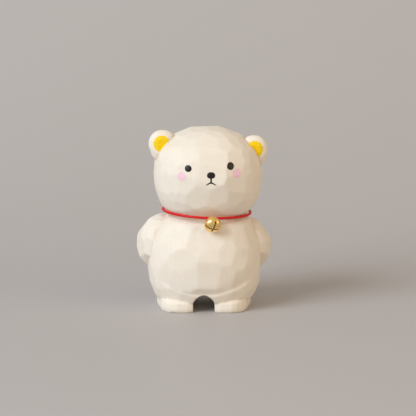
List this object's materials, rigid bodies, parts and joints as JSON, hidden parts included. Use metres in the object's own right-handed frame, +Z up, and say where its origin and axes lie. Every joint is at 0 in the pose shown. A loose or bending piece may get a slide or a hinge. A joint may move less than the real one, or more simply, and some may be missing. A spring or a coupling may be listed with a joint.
{
  "type": "carved bear figurine",
  "caption": "Small whittled wooden bear with painted face and ears, standing with its arms behind its back, a red cord round its neck and a brass jingle bell that swings on it.",
  "frame": {"origin": "middle of the box round the whole piece, on the surface that it stands on", "axes": "+Z up; the bear faces -Y, and +X is the viewer's right as the bear is looked at"},
  "size_m": [0.0626, 0.0522, 0.084],
  "materials": {
    "limewashed_wood": "matte",
    "yellow_paint": "matte",
    "black_paint": "gloss",
    "pink_paint": "matte",
    "red_cord": "waxed",
    "brass": "polished",
    "steel": "satin"
  },
  "bodies": {
    "figure": {"carved_body": "limewashed_wood", "inner_ear_left": "yellow_paint", "inner_ear_right": "yellow_paint", "eye_left": "black_paint", "eye_right": "black_paint", "nose": "black_paint", "mouth": "black_paint", "cheek_left": "pink_paint", "cheek_right": "pink_paint"},
    "collar": {"neck_cord": "red_cord", "cord_knot": "red_cord"},
    "bell": {"bell_shell": "brass", "bell_loop": "brass"},
    "pellet": {"bell_pellet": "steel"}
  },
  "joints": [
    {"name": "collar_turn", "type": "hinge", "parent": "figure", "child": "collar", "pos_m": [0.0013, 0.00017, 0.0445], "axis": [0.0436, 0, 0.999], "range_deg": [-10, 10]},
    {"name": "bell_swing", "type": "hinge", "parent": "collar", "child": "bell", "pos_m": [0.00379, -0.01988, 0.04439], "axis": [-0.9914, -0.1236, 0.0433], "range_deg": [0, 45]},
    {"name": "pellet_roll", "type": "hinge", "parent": "bell", "child": "pellet", "pos_m": [0.00405, -0.02273, 0.04205], "axis": [-0.0685, 0.7712, 0.6329], "continuous": true}
  ]
}
